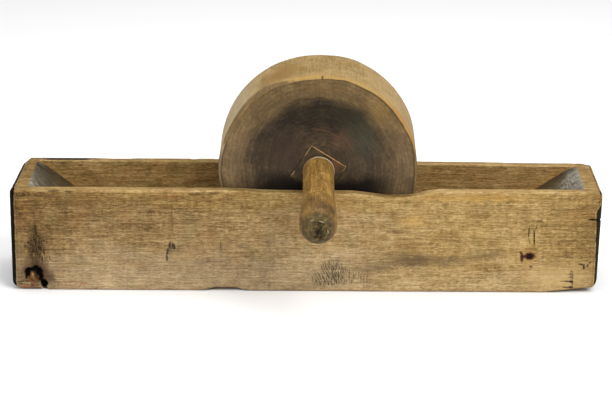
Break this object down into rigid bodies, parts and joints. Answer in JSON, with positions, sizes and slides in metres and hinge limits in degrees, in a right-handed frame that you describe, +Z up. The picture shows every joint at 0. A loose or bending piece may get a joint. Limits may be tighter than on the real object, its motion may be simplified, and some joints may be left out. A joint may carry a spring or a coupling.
{
  "type": "trough mill",
  "caption": "Wooden hand mill: a thick disc wheel on a spindle with two turned handles rolls to and fro in a long dug-out trough with sloping ends and crushes what lies in it.",
  "frame": {"origin": "middle of the trough's underside", "axes": "+X along the trough, +Y from the front wall, which the wheel leans towards, to the rear wall, +Z up"},
  "size_m": [0.66, 0.4819, 0.2504],
  "materials": {
    "trough_wood": "old dry bare wood, rubbed smooth on the rim",
    "wheel_wood": "end grain, darkened on the faces and polished on the tread",
    "hub_wood": "dark end grain",
    "spindle_wood": "bare, dark at the ends",
    "handle_wood": "turned and polished by hands",
    "wedge_wood": "dark end grain"
  },
  "bodies": {
    "trough": {"trough": "trough_wood"},
    "axle": {"spindle": "spindle_wood", "front_handle": "handle_wood", "rear_handle": "handle_wood", "front_wedge": "wedge_wood", "rear_wedge": "wedge_wood"},
    "roller": {"wheel": "wheel_wood", "hub_block": "hub_wood"}
  },
  "joints": [
    {"name": "axle_travel", "type": "slide", "parent": "trough", "child": "axle", "axis": [1, 0, 0], "range_m": [-0.164, 0.1225]},
    {"name": "wheel_roll", "type": "hinge", "parent": "axle", "child": "roller", "pos_m": [0.014, -0.00254, 0.13878], "axis": [0, 0.9991, 0.0414], "range_deg": [-86, 64.3]}
  ],
  "couplings": [
    {"joint": "wheel_roll", "follows": "axle_travel", "rad_per_m": 9.0909}
  ]
}
